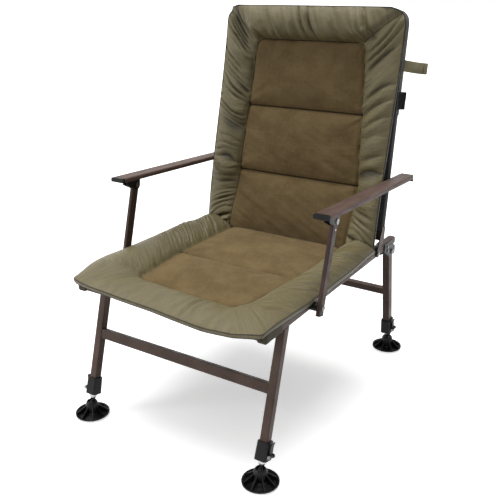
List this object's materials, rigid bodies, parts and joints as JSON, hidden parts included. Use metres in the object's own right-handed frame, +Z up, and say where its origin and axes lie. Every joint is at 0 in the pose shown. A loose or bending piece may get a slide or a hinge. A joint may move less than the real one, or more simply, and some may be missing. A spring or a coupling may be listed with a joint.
{
  "type": "folding fishing chair",
  "caption": "Folding reclining chair on a square steel frame, with a padded mattress, hinged armrests, fold-under rear legs and telescopic legs on tilting mud feet.",
  "frame": {"origin": "on the ground, midway between the four feet", "axes": "+X towards the sitter's left, -Y the way the chair faces, +Z up"},
  "size_m": [0.6049, 0.808, 0.9579],
  "materials": {
    "frame_paint": "dark brown metallic powder coat, satin",
    "armrest_paint": "brown metallic powder coat with a soft sheen",
    "bracket_steel": "grey coated plate",
    "bolt_steel": "bright zinc plate",
    "black_plastic": "moulded black nylon",
    "sling_cloth": "black woven polyester",
    "mattress_cloth": "brown fleece panels in an olive nylon border",
    "webbing": "khaki woven webbing",
    "label_cloth": "black woven tag, bare"
  },
  "bodies": {
    "seat_frame": {"left_seat_rail": "frame_paint", "left_rail_end_cap": "black_plastic", "left_rear_leg_bracket": "bracket_steel", "left_rear_leg_pivot_bolt": "bolt_steel", "left_arm_post_spacer": "black_plastic", "left_arm_post_bolt": "bolt_steel", "left_back_hinge_bolt": "bolt_steel", "left_front_leg": "frame_paint", "left_front_leg_collar": "black_plastic", "right_seat_rail": "frame_paint", "right_rail_end_cap": "black_plastic", "right_rear_leg_bracket": "bracket_steel", "right_rear_leg_pivot_bolt": "bolt_steel", "right_arm_post_spacer": "black_plastic", "right_arm_post_bolt": "bolt_steel", "right_back_hinge_bolt": "bolt_steel", "right_front_leg": "frame_paint", "right_front_leg_collar": "black_plastic", "front_leg_crossbar": "frame_paint", "seat_front_crossbar": "frame_paint", "seat_rear_crossbar": "frame_paint", "seat_sling": "sling_cloth", "seat_pad": "mattress_cloth"},
    "rear_leg_frame": {"left_rear_leg": "frame_paint", "left_rear_leg_collar": "black_plastic", "right_rear_leg": "frame_paint", "right_rear_leg_collar": "black_plastic", "rear_leg_crossbar": "frame_paint"},
    "back_frame": {"left_back_tube": "frame_paint", "right_back_tube": "frame_paint", "back_top_tube": "frame_paint", "back_lower_crossbar": "frame_paint", "back_sling": "sling_cloth", "back_pad": "mattress_cloth", "webbing_strap": "webbing", "side_label": "label_cloth"},
    "left_arm_post_body": {"left_arm_post": "frame_paint"},
    "left_armrest_body": {"left_armrest": "armrest_paint", "left_armrest_front_cap": "black_plastic", "left_recline_rack": "black_plastic", "left_arm_bracket": "black_plastic", "left_arm_pivot_pin": "bolt_steel"},
    "left_front_inner_leg_body": {"left_front_inner_leg": "bolt_steel"},
    "left_front_foot_body": {"left_front_mud_foot": "black_plastic"},
    "left_front_lever_body": {"left_front_clamp_lever": "black_plastic"},
    "left_rear_inner_leg_body": {"left_rear_inner_leg": "bolt_steel"},
    "left_rear_foot_body": {"left_rear_mud_foot": "black_plastic"},
    "left_rear_lever_body": {"left_rear_clamp_lever": "black_plastic"},
    "right_arm_post_body": {"right_arm_post": "frame_paint"},
    "right_armrest_body": {"right_armrest": "armrest_paint", "right_armrest_front_cap": "black_plastic", "right_recline_rack": "black_plastic", "right_arm_bracket": "black_plastic", "right_arm_pivot_pin": "bolt_steel"},
    "right_front_inner_leg_body": {"right_front_inner_leg": "bolt_steel"},
    "right_front_foot_body": {"right_front_mud_foot": "black_plastic"},
    "right_front_lever_body": {"right_front_clamp_lever": "black_plastic"},
    "right_rear_inner_leg_body": {"right_rear_inner_leg": "bolt_steel"},
    "right_rear_foot_body": {"right_rear_mud_foot": "black_plastic"},
    "right_rear_lever_body": {"right_rear_clamp_lever": "black_plastic"}
  },
  "joints": [
    {"name": "back_fold", "type": "hinge", "parent": "seat_frame", "child": "back_frame", "pos_m": [0, 0.20903, 0.35], "axis": [1, 0, 0], "range_deg": [-25, 90], "deforming": ["back_pad", "seat_pad", "webbing_strap"]},
    {"name": "rear_legs_fold", "type": "hinge", "parent": "seat_frame", "child": "rear_leg_frame", "pos_m": [0, 0.31053, 0.326], "axis": [1, 0, 0], "range_deg": [-92, 0]},
    {"name": "left_arm_post_swing", "type": "hinge", "parent": "seat_frame", "child": "left_arm_post_body", "pos_m": [0.282, -0.16706, 0.35], "axis": [1, 0, 0], "range_deg": [-25, 90]},
    {"name": "left_armrest_pivot", "type": "hinge", "parent": "left_arm_post_body", "child": "left_armrest_body", "pos_m": [0.282, -0.11507, 0.53597], "axis": [1, 0, 0], "range_deg": [-90, 25]},
    {"name": "left_front_leg_extension", "type": "slide", "parent": "seat_frame", "child": "left_front_inner_leg_body", "axis": [0, -0.2773, -0.9608], "range_m": [0, 0.1]},
    {"name": "left_front_foot_tilt", "type": "hinge", "parent": "left_front_inner_leg_body", "child": "left_front_foot_body", "pos_m": [0.248, -0.362, 0.028], "axis": [1, 0, 0], "range_deg": [-38, 5.5]},
    {"name": "left_front_clamp_lever_turn", "type": "hinge", "parent": "seat_frame", "child": "left_front_lever_body", "pos_m": [0.2674, -0.35035, 0.06835], "axis": [0, 0.9608, -0.2773], "range_deg": [0, 100]},
    {"name": "left_rear_leg_extension", "type": "slide", "parent": "rear_leg_frame", "child": "left_rear_inner_leg_body", "axis": [0, 0.1702, -0.9854], "range_m": [0, 0.1]},
    {"name": "left_rear_foot_tilt", "type": "hinge", "parent": "left_rear_inner_leg_body", "child": "left_rear_foot_body", "pos_m": [0.248, 0.362, 0.028], "axis": [1, 0, 0], "range_deg": [-12, 31.5]},
    {"name": "left_rear_clamp_lever_turn", "type": "hinge", "parent": "rear_leg_frame", "child": "left_rear_lever_body", "pos_m": [0.2674, 0.35485, 0.06939], "axis": [0, 0.9854, 0.1702], "range_deg": [0, 100]},
    {"name": "right_arm_post_swing", "type": "hinge", "parent": "seat_frame", "child": "right_arm_post_body", "pos_m": [-0.282, -0.16706, 0.35], "axis": [1, 0, 0], "range_deg": [-25, 90]},
    {"name": "right_armrest_pivot", "type": "hinge", "parent": "right_arm_post_body", "child": "right_armrest_body", "pos_m": [-0.282, -0.11507, 0.53597], "axis": [1, 0, 0], "range_deg": [-90, 25]},
    {"name": "right_front_leg_extension", "type": "slide", "parent": "seat_frame", "child": "right_front_inner_leg_body", "axis": [0, -0.2773, -0.9608], "range_m": [0, 0.1]},
    {"name": "right_front_foot_tilt", "type": "hinge", "parent": "right_front_inner_leg_body", "child": "right_front_foot_body", "pos_m": [-0.248, -0.362, 0.028], "axis": [1, 0, 0], "range_deg": [-38, 5.5]},
    {"name": "right_front_clamp_lever_turn", "type": "hinge", "parent": "seat_frame", "child": "right_front_lever_body", "pos_m": [-0.2674, -0.35035, 0.06835], "axis": [0, -0.9608, 0.2773], "range_deg": [0, 100]},
    {"name": "right_rear_leg_extension", "type": "slide", "parent": "rear_leg_frame", "child": "right_rear_inner_leg_body", "axis": [0, 0.1702, -0.9854], "range_m": [0, 0.1]},
    {"name": "right_rear_foot_tilt", "type": "hinge", "parent": "right_rear_inner_leg_body", "child": "right_rear_foot_body", "pos_m": [-0.248, 0.362, 0.028], "axis": [1, 0, 0], "range_deg": [-12, 31.5]},
    {"name": "right_rear_clamp_lever_turn", "type": "hinge", "parent": "rear_leg_frame", "child": "right_rear_lever_body", "pos_m": [-0.2674, 0.35485, 0.06939], "axis": [0, -0.9854, -0.1702], "range_deg": [0, 100]}
  ],
  "couplings": [
    {"joint": "left_arm_post_swing", "follows": "back_fold", "ratio": 1},
    {"joint": "left_armrest_pivot", "follows": "back_fold", "ratio": -1},
    {"joint": "right_arm_post_swing", "follows": "back_fold", "ratio": 1},
    {"joint": "right_armrest_pivot", "follows": "back_fold", "ratio": -1}
  ]
}
